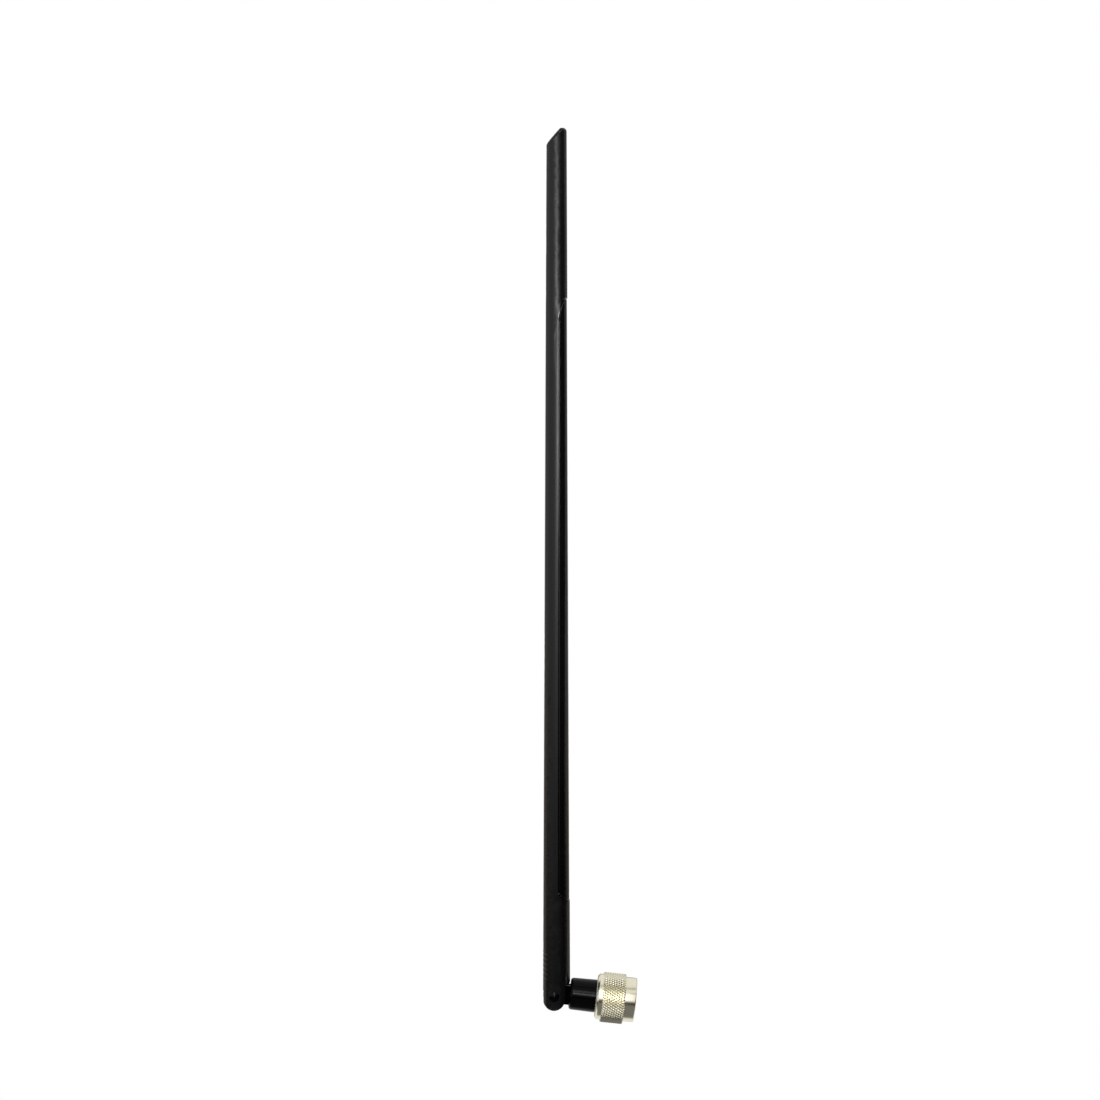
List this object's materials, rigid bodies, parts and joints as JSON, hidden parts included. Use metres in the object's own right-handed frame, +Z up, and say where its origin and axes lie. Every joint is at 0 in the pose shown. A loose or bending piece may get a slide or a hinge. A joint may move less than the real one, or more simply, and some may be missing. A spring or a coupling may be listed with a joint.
{
  "type": "omnidirectional antenna",
  "caption": "Omnidirectional Wi-Fi blade antenna: slim tapering black radome on a fork hinge, a short swivelling arm and a knurled N plug that screws onto a router or bridge.",
  "frame": {"origin": "centre of the plug's reference plane, the end of its outer contact, on the connector axis", "axes": "+Z up the radome mast; +X towards the jack that the plug screws onto, with the connector axis 6 degrees below +X; +Y completes the right-handed frame, along the hinge pins"},
  "size_m": [0.0395, 0.0208, 0.3757],
  "materials": {
    "shell_plastic": "black polycarbonate with a fine moulded grain",
    "cover_plastic": "polished black moulding",
    "arm_plastic": "polished black moulding",
    "nut_plating": "nickel plated brass, satin knurl and bright collars",
    "nickel": "nickel plated brass",
    "contact_plating": "white bronze plated brass",
    "gold": "gold plated brass",
    "ptfe": "white fluoropolymer",
    "gasket_rubber": "red-brown silicone",
    "coax_jacket": "black cable jacket",
    "spring_steel": "spring steel",
    "pin_steel": "blackened steel",
    "seal_rubber": "black nitrile",
    "nylon": "natural nylon",
    "board": "green glass-fibre laminate",
    "copper": "bare copper",
    "solder": "bright solder",
    "bare_brass": "drawn brass tube",
    "foam": "closed-cell foam"
  },
  "bodies": {
    "plug": {"plug_body": "nickel", "outer_contact": "contact_plating", "center_pin": "gold", "dielectric": "ptfe", "gasket": "gasket_rubber", "crimp_ferrule": "nickel", "arm_coax": "coax_jacket", "swivel_clip": "spring_steel", "swivel_o_ring": "seal_rubber", "swivel_washer": "nylon", "nut_snap_ring": "spring_steel"},
    "nut": {"coupling_nut": "nut_plating"},
    "arm": {"swivel_arm": "arm_plastic", "hinge_coax": "coax_jacket"},
    "mast": {"back_cover": "cover_plastic", "balun_sleeve": "bare_brass", "cable_grommet": "seal_rubber", "feed_solder": "solder", "foam_spacer_lower": "foam", "foam_spacer_middle": "foam", "foam_spacer_upper": "foam", "friction_washer_front": "spring_steel", "friction_washer_rear": "spring_steel", "front_copper": "copper", "mast_coax": "coax_jacket", "pivot_pin_front": "pin_steel", "pivot_pin_rear": "pin_steel", "radiator_board": "board", "radome_shell": "shell_plastic", "rear_copper": "copper"}
  },
  "joints": [
    {"name": "nut_spin", "type": "hinge", "parent": "plug", "child": "nut", "pos_m": [0, 0, 0], "axis": [0.9945, 0, -0.1045], "continuous": true},
    {"name": "swivel", "type": "hinge", "parent": "plug", "child": "arm", "pos_m": [0, 0, 0], "axis": [0.9945, 0, -0.1045], "range_deg": [-180, 180]},
    {"name": "tilt", "type": "hinge", "parent": "arm", "child": "mast", "pos_m": [-0.03163, 0, 0.00232], "axis": [0, 1, 0], "range_deg": [-84, 2], "deforming": ["hinge_coax"]}
  ]
}
